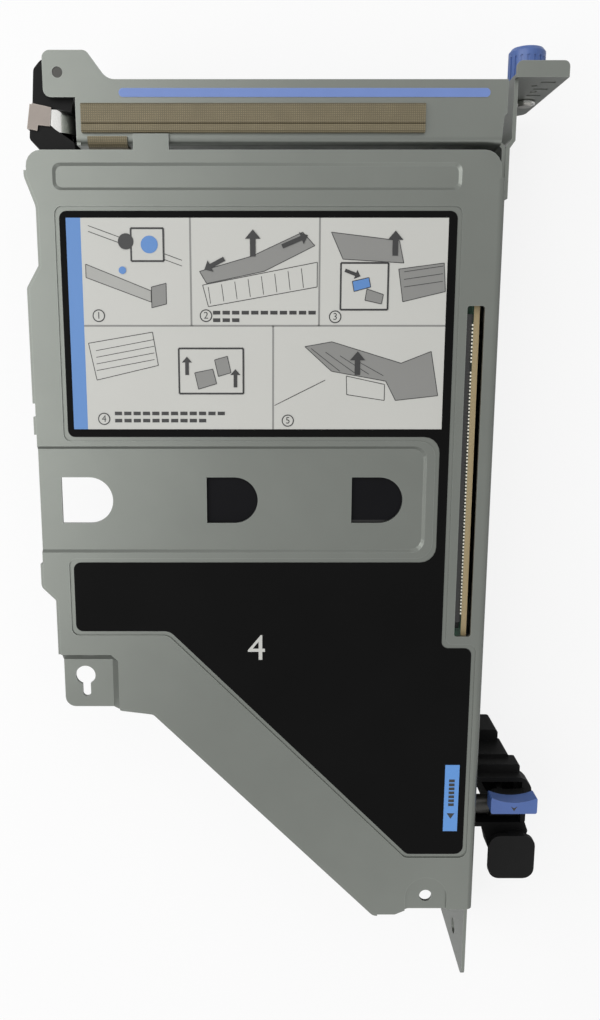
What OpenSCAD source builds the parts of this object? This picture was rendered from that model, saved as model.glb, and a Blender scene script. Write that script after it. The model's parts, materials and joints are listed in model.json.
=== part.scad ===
// Riser cage bracket for a rack server: a folded sheet-steel cage that carries
// a vertical riser board with two card slots, a card retention latch, a
// captive thumbscrew and a sprung release lever.
// X runs across the cage, Y towards the server's rear, Z up from the surface
// that the open side of the cage stands on. Sizes are in millimetres.

/* [Sheet metal] */
// Thickness of the folded steel sheet
sheet_t = 1; // [0.8:0.1:1.4]
// Inside radius of the main bends
bend_r = 1; // [0.6:0.1:2]
// Depth of the drawn rim along the open edges of the plate
rim_h = 4; // [2.5:0.5:6]

/* [Cage] */
// Width of the top plate, from the open edge to the riser wall
plate_w = 128; // [122:1:136]
// Length of the top plate, rear edge to front edge
plate_l = 224.8; // [214:1:245]
// Height of the cage from its feet to the top of the plate
cage_h = 50; // [48:0.5:60]
// Gap between the plate's rear edge and the slot wall
rear_gap = 1.4; // [1:0.1:2.5]
// Reach of the rim outside the plate's flat top
rim_out = 0.8; // [0.4:0.1:1]
// Length of the wall nose that runs on past the plate's front edge
nose_l = 28.6; // [20:0.2:40]
// Drop of the nose's top edge below the plate
nose_drop = 6.6; // [4:0.2:12]
// Radius of the screw hole in the nose
nose_hole_r = 2.5; // [1.6:0.1:3.5]
// Width of the plate's front end, beside the riser wall
front_w = 30.4; // [26:0.5:34]
// Length of plate at its open edge, rear edge to the keyhole tab's front
open_l = 156.8; // [152:1:162]

/* [Plate stampings] */
// Depth of the cross channel
channel_depth = 0.8; // [0.4:0.1:1.2]
// Width of the cross channel
channel_w = 30.6; // [26:0.5:34]
// Distance from the plate's rear edge to the channel
channel_y = 78.6; // [74:0.5:82]
// Depth of the long stiffening recess behind the film
bead_depth = 0.6; // [0.4:0.1:0.8]
// Width of the long stiffening recess
bead_w = 7; // [5:0.5:8]
// Depth of the pocket round the front hole
pocket_depth = 0.6; // [0.3:0.1:0.8]
// Radius of the pocket round the front hole
pocket_r = 6.4; // [4:0.2:7]
// Depth of the shallow pocket that the printed film lies in
film_pocket = 0.4; // [0.2:0.05:0.6]
// Height of the D-shaped windows
window_h = 13.2; // [10:0.2:16]
// Width of the D-shaped windows
window_w = 14.5; // [12:0.1:18]
// Distance between the D-shaped windows
window_pitch = 41.1; // [36:0.1:42]
// Radius of the round part of the keyhole
keyhole_r = 2.9; // [2:0.1:3.4]
// Half width of the narrow part of the keyhole
keyhole_slot_r = 1.2; // [0.8:0.1:1.6]
// Drop of the keyhole tab below the plate
tab_drop = 2; // [1:0.1:3]
// Radius of the round hole near the front
front_hole_r = 1.9; // [1.2:0.1:2.5]

/* [Slot wall] */
// Length of the band that is folded back from the slot wall
band_l = 16.2; // [14:0.2:20]
// Drop of the band below the plate
band_drop = 1; // [1:0.1:1.4]
// Distance between the two card slots
slot_pitch = 20.32; // [20:0.02:22]
// Depth of the first slot's middle below the plate
slot_depth = 13.6; // [12.6:0.1:15]
// Width of a card window
slot_w = 12; // [10:0.1:13]
// Length of a card window
slot_l = 89.5; // [80:0.5:92]
// Outward reach of the thumbscrew flange from the cage
ear_w = 15.2; // [14:0.2:20]
// Outward step of the thumbscrew bracket's side
joggle = 1.4; // [0.8:0.1:2]
// Height of the thumbscrew flange's lower edge above the feet
ear_foot = 4.5; // [3:0.5:8]
// Length of the lip along the top of the thumbscrew flange
lip_l = 4.1; // [3:0.1:6]

/* [Riser board] */
// Thickness of the riser board
board_t = 1.6; // [1.2:0.1:2]
// Length of the riser board
board_l = 160; // [150:1:170]
// Gap between the riser board and the riser wall
standoff_l = 4; // [3:0.1:5]
// Depth of the board's top edge below the plate
board_depth = 3; // [2.5:0.1:4]
// Length of the edge tongue that plugs into the system board
tongue_l = 89; // [80:1:95]
// Length of a card slot's body
socket_l = 89; // [87:0.5:92]
// Height of a card slot's body above the board
socket_h = 11.2; // [10:0.1:12]
// Thickness of a card slot's body
socket_w = 7.6; // [7:0.1:8.5]
// Distance between neighbouring contacts
contact_pitch = 1; // [1:0.01:1.02]

/* [Card latch] */
// Radius of the latch's pivot pin
pivot_r = 1.4; // [1:0.05:1.8]
// Height of the latch body
latch_h = 42; // [36:0.5:42]
// Thickness of the latch's steel clip
clip_t = 0.6; // [0.4:0.05:0.8]

/* [Thumbscrew] */
// Radius of the thumbscrew's knob
knob_r = 5.2; // [5:0.05:6]
// Length of the thumbscrew's knob
knob_l = 9.4; // [9:0.2:13]
// Travel of the thumbscrew as it is pushed in
knob_travel = 3.2; // [2:0.1:4]
// Radius of the screw's thread
screw_r = 1.9; // [1.5:0.05:2.2]
// Length of the screw that stands out in front of the flange
screw_out = 1.4; // [1.2:0.1:2]
// Depth of the thumbscrew's axis below the plate
knob_depth = 27.2; // [24:0.1:32]

/* [Release lever] */
// Width of the lever's touch cap
cap_w = 14.2; // [12:0.1:14.4]
// Length of the touch cap across its top
cap_l = 5.3; // [4:0.1:6]
// Depth of the hollow in the thumb face
thumb_dip = 1.6; // [1:0.1:2]
// Width of the lever between its cheeks
lever_w = 9.6; // [8:0.1:10]
// Radius of the lever's pivot pin
lever_pin_r = 1.5; // [1.2:0.1:1.8]
// Depth of the lever's pivot below the plate
lever_depth = 17; // [16:0.2:19]
// Wall thickness of the moulded lever housing
housing_t = 1.6; // [1.2:0.1:2]
// Length of the finger rest
rest_l = 14.6; // [12:0.2:16]
// Width of the finger rest
rest_w = 14.4; // [13:0.2:15.6]

/* [Trim] */
// Thickness of the gasket on the band
gasket_h = 1.6; // [1:0.1:2.5]
// Width of the gasket on the band
gasket_w = 7.2; // [5:0.1:9]
// Thickness of the printed film
film_t = 0.25; // [0.15:0.05:0.4]
// Thickness of the insulator sheet
insulator_t = 0.4; // [0.25:0.05:0.6]

/* [Hidden] */

steel = [0.62, 0.65, 0.62];
plain_steel = [0.45, 0.44, 0.42];
black = [0.06, 0.06, 0.06];
touch_blue = [0.3, 0.45, 0.75];

cut = 1;             // overrun of a cutting shape past the face it cuts
skin = 0.01;         // thickness of the thin ends of a hull
run = 0.3;           // gap between moving plastic pieces
pin_run = 0.05;      // radial gap of a pin that turns in its bore
bead_slope = 0.8;    // width of a stamping's sloped side
bend_o = bend_r + sheet_t;

// The cage's faces. X is measured from the middle of the plate, and Y from the
// front face of the slot wall.
x_open = -plate_w / 2;
x_wall = plate_w / 2;
x_wall_in = x_wall - sheet_t;
y_rear = -rear_gap;
y_front = y_rear - plate_l;
y_open = y_rear - open_l;
y_nose = y_front + 1.8 - nose_l;
z_plate = cage_h - sheet_t;
z_band = cage_h - band_drop;

// Corners of the plate
notch_w = 3.4;
notch_y0 = -15.5;
notch_y1 = -31.2;
notch_y2 = -37;
shoulder_w = 4;
shoulder_y = y_open + 37.6;
tab_w = 14.6;
tab_l = 14.8;
tab_slope = 2;
front_step = 1.8;
front_step_x = x_wall - 20;

// Channel and windows
channel_y0 = y_rear - channel_y;
channel_y1 = channel_y0 - channel_w;
channel_x1 = x_wall - 18.7;
window_x0 = x_open + 6.15;
window_y = channel_y0 - channel_w / 2 - 0.2;

// Film
film_x0 = x_open + 8.8;
film_x1 = x_wall - 12.6;
film_x2 = x_wall - 3.8;
film_y0 = y_rear - 15.4;
film_gap = 2.6;
film_cut_x = x_wall - 15.2;
film_jog_y = -139.5;
film_front = y_front + 20.6;
film_knee_y = y_open + 24;

// Board slot in the plate
board_slot_w = 4.8;
board_slot_x = x_wall - 9.1;
board_slot_y0 = -41.6;
board_slot_l = 94.2;

// Slot wall
wall_x0 = -49.9;
wall_end = x_wall - bend_o;
slot_x0 = -40;
band_x1 = x_wall - 0.5;
band_lip = 4;
latch_tab_x0 = -58.2;
latch_tab_y0 = band_l - 4.4;
latch_tab_y1 = band_l + 7.1;
latch_x = -54.3;
latch_y = band_l + 1.7;
side_drop = 2.6;
side_lap = 12;
ear_x1 = x_wall + ear_w;
ear_y = band_l + 0.4;

// Riser board and card slots
board_x = x_wall_in - standoff_l - board_t;
board_y0 = -26;
z_board = cage_h - board_depth;
board_foot = 8;
tongue_y0 = -52;
socket_z = z_board - 5;
contact_y0 = -46.7;
contact_n = 82;
contact_key = 11;
socket_end = 3;
standoff_r = 2.5;
standoff_y = [board_y0 - 6, board_y0 - board_l + 10];
standoff_z = [z_board - 5, board_foot + 5];

// Latch
latch_z0 = (z_band - sheet_t - latch_h) / 2 + 1.5;
latch_z1 = latch_z0 + latch_h;

// Thumbscrew
knob_x = x_wall + 10.8;
knob_z = cage_h - knob_depth;
ferrule_r = 3.4;
ferrule_l = 2.6;
knob_y0 = ear_y + sheet_t + knob_travel + 0.4;
knob_y1 = knob_y0 + knob_l;
knob_cavity = 4.6;
ring_t = 0.5;
clip_y0 = ear_y - 0.3 - ring_t;
groove_r = screw_r - 0.4;

// Release lever
lever_y = y_front + 28.2;
lever_z = cage_h - lever_depth;
base_t = 2.5;
boss_r = 3;
lever_x0 = x_wall + 7.6;
lever_x1 = lever_x0 + lever_w;
arm_w = 4;
hub_r = 3.8;
spring_l = 3;
cap_x0 = x_wall + 5.3;
cap_y1 = lever_y + 8.9;
cap_z1 = cage_h - 4;
cap_h = 5;
hook_z = 4.6;

// Housing: four tiers that lean outwards and forwards from the foot up
tier_reach = [14, 15.2, 17.6, 20.6];
tier_rear = [18, 14.2, 13.1, 10.7];
tier_z = [4, 15.7, 26, cage_h - 19, cage_h - 14];
hub_x1 = x_wall + tier_reach[2] - housing_t - run;
pin_x1 = x_wall + 18.4;
tier_r = [1.2, 0.8, 0.8, 5];
mouth = 4.6;
rest_x0 = x_wall + 20.8 - rest_w;
rest_y1 = lever_y - 6.3;
rest_z1 = cage_h - 8;
rest_t = 1.8;
grip_z0 = 24;
neck_t = 6;

// The origin is under the middle of the whole bracket.
x_mid = (x_open - rim_out + rest_x0 + rest_w) / 2;
y_mid = (y_nose + knob_y1) / 2;

// --- helpers ---------------------------------------------------------------

function unit(v) = v / norm(v);

// Arc that rounds the corner p between its neighbours a and b
function corner_arc(a, p, b, r, n) =
  let (
    u = unit(a - p),
    v = unit(b - p),
    half = acos(u * v) / 2,
    c = p + unit(u + v) * r / sin(half),
    s = p + u * r / tan(half) - c,
    e = p + v * r / tan(half) - c,
    a0 = atan2(s.y, s.x),
    turn = atan2(e.y, e.x) - a0,
    da = turn > 180 ? turn - 360 : turn < -180 ? turn + 360 : turn
  )
  [for (k = [0:n]) c + r * [cos(a0 + da * k / n), sin(a0 + da * k / n)]];

// Outline through [x, y, radius] corners, each rounded by its radius
function rounded(pts, n = 5) = [
  for (i = [0:len(pts) - 1])
    let (
      m = len(pts),
      p = pts[i],
      a = pts[(i + m - 1) % m],
      b = pts[(i + 1) % m],
      xy = [p.x, p.y]
    )
    each (p.z > 0 ? corner_arc([a.x, a.y], xy, [b.x, b.y], p.z, n) : [xy])
];

// Rectangle with rounded corners
module rrect(x0, x1, y0, y1, r) {
  polygon(rounded([[x0, y0, r], [x1, y0, r], [x1, y1, r], [x0, y1, r]]));
}

// Box between two corners
module block(a, b) {
  translate(a) cube(b - a);
}

// Cylinder along X from x0 to x1
module x_rod(x0, x1, y, z, r) {
  translate([x0, y, z]) rotate([0, 90, 0]) cylinder(h = x1 - x0, r = r, $fn = 48);
}

// Cylinder along Y from y0 to y1
module y_rod(x, y0, y1, z, r) {
  translate([x, y0, z]) rotate([-90, 0, 0]) cylinder(h = y1 - y0, r = r, $fn = 48);
}

// Quarter of a round bend along Z, in the quadrant from a to a + 90 degrees
module bend(h, a) {
  rotate([0, 0, a]) rotate_extrude(angle = 90, $fn = 48)
    translate([bend_r, 0]) square([sheet_t, h]);
}

// Stamped recess with sloped sides: z is its top, depth is positive downwards
module pan(x0, x1, y0, y1, r, z, depth) {
  hull() {
    translate([0, 0, z - skin])
      linear_extrude(skin) rrect(x0, x1, y0, y1, r);
    translate([0, 0, z - depth])
      linear_extrude(skin)
        rrect(x0 + bead_slope, x1 - bead_slope, y0 + bead_slope, y1 - bead_slope, r - bead_slope / 2);
  }
}

// Helical wire along Z, as rings of points joined into one closed skin
module coil(r, wire_r, pitch, turns, sides = 6, steps = 14) {
  rings = turns * steps;
  pts = [
    for (i = [0:rings], j = [0:sides - 1])
      let (a = 360 * i / steps, b = 360 * j / sides, q = r + wire_r * cos(b))
      [q * cos(a), q * sin(a), pitch * i / steps + wire_r * sin(b)]
  ];
  side = [
    for (i = [0:rings - 1], j = [0:sides - 1])
      let (k = (j + 1) % sides)
      [i * sides + j, i * sides + k, (i + 1) * sides + k, (i + 1) * sides + j]
  ];
  first = [for (j = [sides - 1:-1:0]) j];
  last = [for (j = [0:sides - 1]) rings * sides + j];
  polyhedron(pts, concat([first, last], side));
}

module place() {
  translate([-x_mid, -y_mid, 0]) children();
}

// --- cage shell ------------------------------------------------------------

// Outline of the plate, without the keyhole tab and the bend to the wall
module plate_outline() {
  x1 = x_wall - bend_o;
  diag = y_front + (x_wall - front_w - (x_open + 30.9));
  polygon(rounded([
    [x_open + 0.6, y_rear, 4],
    [x1 + 0.5, y_rear, 4.6],
    [x1 + 0.5, y_rear - 7, 0],
    [x1, y_rear - 7, 0],
    [x1, y_front + front_step, 0],
    [front_step_x, y_front + front_step, 1.5],
    [front_step_x - 4, y_front, 1.5],
    [x_wall - front_w, y_front, 2],
    [x_open + 30.9, diag, 3],
    [x_open + 18.7 + tab_slope, y_open, 1],
    [x_open + 18.7 + tab_slope, y_open + tab_l + tab_slope, 0],
    [x_open + shoulder_w, y_open + tab_l + tab_slope, 0],
    [x_open + shoulder_w, shoulder_y - shoulder_w, 1.5],
    [x_open, shoulder_y, 1.5],
    [x_open, notch_y2, 1.5],
    [x_open + notch_w, notch_y1, 1.5],
    [x_open + notch_w, notch_y0, 6],
    [x_open + 0.6, y_rear - 6.5, 3]
  ]));
}

// Outline of the film, grown on every side by g
module film_outline(g = 0) {
  dx = 0.4142 * g;
  polygon(rounded([
    [film_x0 - g, film_y0 + g, 2],
    [film_x1 + g, film_y0 + g, 2],
    [film_x1 + g, film_jog_y + g, 2],
    [film_x2 + g, film_jog_y + g, 2],
    [film_x2 + g, film_front - g, 2.5],
    [x_wall - 21 - dx, film_front - g, 2.5],
    [x_open + 36 - dx, film_knee_y - g, 4],
    [film_x0 - g, film_knee_y - g, 2],
    [film_x0 - g, channel_y1 - film_gap - 0.4 + g, 2],
    [film_cut_x - g, channel_y1 - film_gap - 0.4 + g, 4.5],
    [film_cut_x - g, channel_y0 + film_gap - g, 4.5],
    [film_x0 - g, channel_y0 + film_gap - g, 2]
  ]));
}

// The parts of the plate's edge that have a drawn rim
module rim_zone() {
  x0 = x_open - rim_out - cut;
  y_tab = y_open + tab_l + tab_slope;
  for (span = [[y_rear - 66.7, y_rear - 5], [channel_y0 + 3.2, channel_y0 + 8.2], [y_tab, channel_y1 - 3.5]])
    translate([x0, span[0]]) square([10, span[1] - span[0]]);
  translate([x_open + 18.7 + tab_slope, y_front - cut])
    square([x_wall - front_w + 1 - (x_open + 18.7 + tab_slope), y_open + 2 - (y_front - cut)]);
}

module rim() {
  translate([0, 0, z_plate - rim_h]) linear_extrude(rim_h + 0.5 * sheet_t) intersection() {
    difference() {
      offset(delta = rim_out) plate_outline();
      offset(delta = rim_out - sheet_t) plate_outline();
    }
    rim_zone();
  }
}

module d_window(x) {
  flat = window_w - window_h / 2;
  translate([x, window_y - window_h / 2, z_plate - channel_depth - cut])
    linear_extrude(channel_depth + sheet_t + 2 * cut) {
      square([flat, window_h]);
      translate([flat, window_h / 2]) circle(r = window_h / 2, $fn = 64);
    }
}

// Tab with the keyhole, one step below the plate
module keyhole_tab() {
  x0 = x_open + shoulder_w + 0.4;
  x1 = x_open + 18.7;
  y1 = y_open + tab_l;
  z = z_plate - tab_drop;
  translate([0, 0, z]) linear_extrude(sheet_t)
    polygon(rounded([[x0, y_open, 3], [x1, y_open, 0], [x1, y1, 0], [x0, y1, 0]]));
  hull() {
    block([x0, y1 - skin, z], [x1, y1, z + sheet_t]);
    block([x0, y1 + tab_slope, z_plate], [x1, y1 + tab_slope + skin, cage_h]);
  }
  hull() {
    block([x1 - skin, y_open, z], [x1, y1, z + sheet_t]);
    block([x1 + tab_slope, y_open, z_plate], [x1 + tab_slope + skin, y1, cage_h]);
  }
  hull() {
    block([x1 - skin, y1 - skin, z], [x1, y1, z + sheet_t]);
    block([x1, y1 + tab_slope, z_plate], [x1 + tab_slope, y1 + tab_slope + skin, cage_h]);
    block([x1 + tab_slope, y1, z_plate], [x1 + tab_slope + skin, y1 + tab_slope, cage_h]);
  }
}

keyhole_x = x_open + 10.6;
keyhole_y = y_open + 9.8;
front_hole_x = x_wall - 14.6;
front_hole_y = y_front + 6.2;
nose_hole_y = y_nose + 7.8;
nose_hole_z = cage_h - 21.4;

module keyhole() {
  z = z_plate - tab_drop - cut;
  h = sheet_t + 2 * cut;
  translate([keyhole_x, keyhole_y, z]) cylinder(h = h, r = keyhole_r, $fn = 64);
  translate([keyhole_x + 0.2, keyhole_y - 5.4, z]) cylinder(h = h, r = keyhole_slot_r, $fn = 48);
  translate([keyhole_x + 0.2 - keyhole_slot_r, keyhole_y - 5.4, z])
    cube([2 * keyhole_slot_r, 5.4, h]);
}

// Side wall behind the riser board, with its nose
module riser_wall() {
  difference() {
    translate([x_wall_in, 0, 0]) rotate([90, 0, 90]) linear_extrude(sheet_t)
      polygon(rounded([
        [-bend_r, 0, 0],
        [-bend_r, z_band - bend_o, 0],
        [y_rear - 7, z_band - bend_o, 0],
        [y_rear - 7, cage_h - bend_o, 0],
        [y_front + front_step, cage_h - bend_o, 0],
        [y_front + front_step, cage_h - nose_drop, 0],
        [y_nose, cage_h - nose_drop, 2.5],
        [y_nose, 0, 2.5]
      ]));
    x_rod(x_wall_in - cut, x_wall + cut, nose_hole_y, nose_hole_z, nose_hole_r);
    for (y = standoff_y, z = standoff_z)
      x_rod(x_wall_in - cut, x_wall + cut, y, z, screw_hole_r);
    x_rod(x_wall_in - cut, x_wall + cut, lever_y, lever_z, lever_pin_r);
    for (p = housing_screw_at)
      x_rod(x_wall_in - cut, x_wall + cut, lever_y + p[0], p[1], screw_hole_r);
    for (z = rivet_z)
      x_rod(x_wall_in - cut, x_wall + cut, rivet_y, z, rivet_r);
  }
}

// Band with the latch tab, seen from above
module band_outline() {
  polygon(rounded([
    [wall_x0, bend_o, 0],
    [wall_end + 0.4, bend_o, 0],
    [band_x1 - 0.7, bend_o + 5.2, 0],
    [band_x1, bend_o + 5.8, 0],
    [band_x1, band_l, 0],
    [wall_x0 + 8.5, band_l, 4],
    [wall_x0 + 3.2, latch_tab_y1, 2],
    [latch_tab_x0, latch_tab_y1, 2],
    [latch_tab_x0, latch_tab_y0, 2],
    [wall_x0, latch_tab_y0, 0]
  ]));
}

// Foot flange with the lower latch tab
module foot_outline() {
  polygon(rounded([
    [wall_x0, bend_o, 0],
    [wall_end, bend_o, 0],
    [wall_end, band_l - 4, 3],
    [wall_x0 + 12, band_l - 4, 4],
    [wall_x0 + 3.2, latch_tab_y1, 2],
    [latch_tab_x0, latch_tab_y1, 2],
    [latch_tab_x0, latch_tab_y0, 2],
    [wall_x0, latch_tab_y0, 0]
  ]));
}

// Slot wall, folded from the riser wall, with the band on top and the foot below
module slot_wall() {
  difference() {
    union() {
      block([wall_x0, 0, bend_o], [wall_end, sheet_t, z_band - bend_o]);
      translate([wall_end, -bend_r, bend_o]) bend(z_band - 2 * bend_o, 0);
      translate([wall_x0, bend_o, z_band - bend_o]) rotate([90, 0, 90]) bend(wall_end + 0.4 - wall_x0, 90);
      translate([wall_x0, bend_o, bend_o]) rotate([90, 0, 90]) bend(wall_end - wall_x0, 180);
      translate([0, 0, z_band - sheet_t]) linear_extrude(sheet_t) band_outline();
      linear_extrude(sheet_t) foot_outline();
      // lips that stiffen the band
      block([wall_x0 + 8.5, band_l - sheet_t, z_band - band_lip], [band_x1, band_l, z_band]);
      block([band_x1 - sheet_t, bend_o + 6.5, z_band - band_lip], [band_x1, band_l, z_band]);
      // ledge that the card brackets rest on
      block([wall_x0, 0, bend_o], [wall_x0 + sheet_t, latch_tab_y0, z_band - sheet_t / 2]);
    }
    for (i = [0:1])
      translate([slot_x0, -cut, cage_h - slot_depth - i * slot_pitch - slot_w / 2])
        cube([slot_l, sheet_t + 2 * cut, slot_w]);
    translate([latch_x, latch_y, -cut]) cylinder(h = cage_h + 2 * cut, r = pivot_r, $fn = 48);
  }
}

module bead_pan(g, depth) {
  pan(x_open + 7.5 - g, x_wall - 11.9 + g, y_rear - 3.2 - bead_w - g, y_rear - 3.2 + g,
      2, g > 0 ? z_plate : cage_h + skin, depth);
}

// Pocket round the front hole, open to the plate's front edge
module front_pocket(g) {
  translate([front_hole_x, front_hole_y]) {
    circle(r = pocket_r + g, $fn = 64);
    translate([-pocket_r - g, -12]) square([2 * (pocket_r + g), 12]);
  }
}

module cage_shell() {
  color(steel) place() {
    difference() {
      union() {
        translate([0, 0, z_plate]) linear_extrude(sheet_t) plate_outline();
        rim();
        // undersides of the stampings
        pan(x_open, channel_x1 + sheet_t, channel_y1 - sheet_t / 2, channel_y0 + sheet_t / 2,
            4, z_plate, channel_depth);
        bead_pan(sheet_t / 2, bead_depth);
        translate([0, 0, z_plate - film_pocket]) linear_extrude(film_pocket + skin) film_outline(2);
        translate([0, 0, z_plate - pocket_depth]) linear_extrude(pocket_depth + skin) intersection() {
          front_pocket(sheet_t / 2);
          plate_outline();
        }
      }
      pan(x_open - 8, channel_x1, channel_y1, channel_y0, 3.6, cage_h + skin, channel_depth);
      bead_pan(0, bead_depth);
      translate([0, 0, cage_h - film_pocket]) linear_extrude(cut) film_outline(1.2);
      translate([0, 0, cage_h - pocket_depth]) linear_extrude(cut) front_pocket(0);
      translate([front_hole_x, front_hole_y, z_plate - cut])
        cylinder(h = sheet_t + 2 * cut, r = front_hole_r, $fn = 48);
      translate([board_slot_x, board_slot_y0 - board_slot_l, z_plate - cut])
        linear_extrude(sheet_t + 2 * cut)
          rrect(0, board_slot_w, 0, board_slot_l, 0.7);
      for (i = [0:2]) d_window(window_x0 + i * window_pitch);
    }
    difference() {
      keyhole_tab();
      keyhole();
    }
    // tab that reaches over the bend of the slot wall
    block([-34.9, y_rear - cut, z_plate], [-25.5, 2.6, cage_h]);
    // bend between the plate and the riser wall
    translate([x_wall - bend_o, y_rear - 7, cage_h - bend_o]) rotate([90, 0, 0])
      bend(y_rear - 7 - (y_front + front_step), 0);
    riser_wall();
    slot_wall();
  }
}

// --- thumbscrew bracket ----------------------------------------------------

rivet_r = 1.2;
rivet_y = y_rear - side_lap / 2;
rivet_z = [cage_h - 10, 12];

// Side of the bracket with its joggle and flange, from above
module ear_outline() {
  x0 = x_wall;
  x1 = x_wall + sheet_t;
  polygon([
    [x0, y_rear - side_lap], [x1, y_rear - side_lap], [x1, -0.6], [x1 + joggle, 1.4],
    [x1 + joggle, ear_y], [ear_x1, ear_y], [ear_x1, ear_y + sheet_t],
    [x0 + joggle, ear_y + sheet_t], [x0 + joggle, 1.8], [x0, -0.2]
  ]);
}

// Cut that rounds the flange's lower outer corner
module ear_corner(r = 4) {
  translate([ear_x1 - r, ear_y - cut, ear_foot]) difference() {
    translate([0, 0, -cut]) cube([r + cut, sheet_t + 2 * cut, r + cut]);
    translate([0, -cut, r]) rotate([-90, 0, 0]) cylinder(h = sheet_t + 4 * cut, r = r, $fn = 48);
  }
}

// Lip along the top of the flange, folded back from it
module ear_lip() {
  h = side_drop - 0.6;
  block([x_wall + joggle, ear_y, -skin], [ear_x1, ear_y + sheet_t, h]);
  translate([0, 0, h - sheet_t]) linear_extrude(sheet_t)
    polygon(rounded([
      [x_wall + joggle, ear_y, 0], [ear_x1, ear_y, 0],
      [ear_x1, ear_y + lip_l, 1.5], [x_wall + joggle, ear_y + lip_l, 1.5]
    ]));
}

module ear_bracket() {
  color(steel) place()
    difference() {
      union() {
        translate([0, 0, ear_foot]) linear_extrude(cage_h - side_drop - ear_foot) ear_outline();
        translate([0, 0, cage_h - side_drop]) ear_lip();
      }
      ear_corner();
      for (z = rivet_z) x_rod(x_wall - cut, x_wall + sheet_t + cut, rivet_y, z, rivet_r);
      y_rod(knob_x, ear_y - cut, ear_y + sheet_t + cut, knob_z, ferrule_r - 1);
      for (i = [0:2])
        translate([knob_x - 1.6, ear_y - cut, cage_h - 6.4 - 7 * i])
          cube([4, sheet_t + 2 * cut, 1.2]);
      for (i = [0:1])
        y_rod(knob_x - 2.3 + 1.5 * i, ear_y - cut, ear_y + sheet_t + cut, cage_h - 9.5 - 6.3 * i, 0.8 + 0.2 * i);
    }
}

module ear_rivets() {
  color(plain_steel) place() for (z = rivet_z) {
    x_rod(x_wall_in - 0.6, x_wall + sheet_t + 0.6, rivet_y, z, rivet_r);
    x_rod(x_wall_in - 0.6, x_wall_in, rivet_y, z, 2 * rivet_r);
    x_rod(x_wall + sheet_t, x_wall + sheet_t + 0.6, rivet_y, z, 2 * rivet_r);
  }
}

// --- gaskets and films -----------------------------------------------------

gasket_x0 = wall_x0 + 1.6;
gasket_x1 = x_wall - 22.1;
gasket_y0 = 2.9;

module emi_gasket() {
  seam = gasket_w * 0.3;
  color([0.4, 0.36, 0.28]) place()
    translate([gasket_x0, gasket_y0, z_band]) rotate([90, 0, 90])
      linear_extrude(gasket_x1 - gasket_x0)
        polygon([
          [0, 0], [gasket_w, 0], [gasket_w, gasket_h * 0.75], [gasket_w - 0.5, gasket_h],
          [seam + 0.2, gasket_h], [seam, gasket_h * 0.8], [seam - 0.2, gasket_h],
          [0.5, gasket_h], [0, gasket_h * 0.75]
        ]);
}

// Strip of gasket over the bend at the slot wall's open corner
module corner_gasket() {
  x0 = wall_x0 + 3;
  l = 10.4;
  t = 0.8;
  color([0.35, 0.34, 0.24]) place() {
    block([x0, -t, z_band - bend_o - 5], [x0 + l, 0, z_band - bend_o]);
    translate([x0, bend_o, z_band - bend_o]) rotate([90, 0, 90])
      rotate([0, 0, 90]) rotate_extrude(angle = 90, $fn = 48) translate([bend_o, 0]) square([t, l]);
  }
}

module label_film() {
  color(black) place()
    translate([0, 0, cage_h - film_pocket]) linear_extrude(film_t) film_outline();
}

module touch_line() {
  r = 1.1;
  y = band_l - 3.3;
  color(touch_blue) place()
    translate([0, 0, z_band]) linear_extrude(0.15)
      rrect(x_open + 25.6, x_wall - 5.2, y - r, y + r, r * 0.95);
}

module insulator_sheet() {
  x0 = window_x0 + window_pitch - 9;
  x1 = channel_x1 - 1.5;
  z1 = z_plate - channel_depth;
  mid = (x0 + x1) / 2;
  color(black) place()
    translate([0, 0, z1 - insulator_t]) linear_extrude(insulator_t)
      polygon([
        [x0, channel_y0 - 2], [x1, channel_y0 - 2], [x1, window_y - window_h / 2 + 0.7],
        [mid, window_y - window_h / 2 + 0.7], [mid - 2, channel_y1 + 2], [x0, channel_y1 + 2]
      ]);
}

// --- riser board -----------------------------------------------------------

module riser_board() {
  y1 = board_y0 - board_l;
  color([0.5, 0.42, 0.26]) place()
    difference() {
      translate([board_x, 0, 0]) rotate([90, 0, 90]) linear_extrude(board_t)
        polygon(rounded([
          [board_y0, board_foot, 1], [board_y0, z_board, 1], [y1, z_board, 1], [y1, board_foot, 1],
          [tongue_y0 - tongue_l, board_foot, 0], [tongue_y0 - tongue_l, 0, 1],
          [tongue_y0 - 14, 0, 0], [tongue_y0 - 14, board_foot - 1, 0],
          [tongue_y0 - 12, board_foot - 1, 0], [tongue_y0 - 12, 0, 0],
          [tongue_y0, 0, 1], [tongue_y0, board_foot, 0]
        ]));
      for (y = standoff_y, z = standoff_z)
        x_rod(board_x - cut, board_x + board_t + cut, y, z, 1.4);
    }
}

// Card slot with its edge groove and key, z is the middle of its body
module card_slot(z) {
  y0 = contact_y0 + socket_end;
  y1 = y0 - socket_l;
  x0 = board_x - socket_h;
  groove = 0.9;
  key_y = contact_y0 - (contact_key - 1) * contact_pitch - 1.2;
  difference() {
    union() {
      block([x0, y1, z - socket_w / 2], [board_x, y0, z + socket_w / 2]);
      // latch horn at the front end of the slot
      block([x0 - 6, y1 - 2.4, z - 2.2], [board_x, y1, z + 2.2]);
    }
    block([x0 - cut, y1 + 1.6, z - groove], [x0 + 8, key_y - 1.8, z + groove]);
    block([x0 - cut, key_y, z - groove], [x0 + 8, y0 - 1.6, z + groove]);
    // chamfers that lead the card in
    for (s = [-1, 1])
      translate([x0, (y0 + y1) / 2, z + s * groove]) rotate([0, s * 45, 0])
        cube([1, socket_l - 3.2, 1], center = true);
  }
}

module card_slot_upper() {
  color(black) place() card_slot(socket_z);
}

module card_slot_lower() {
  color(black) place() card_slot(socket_z - slot_pitch);
}

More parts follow.
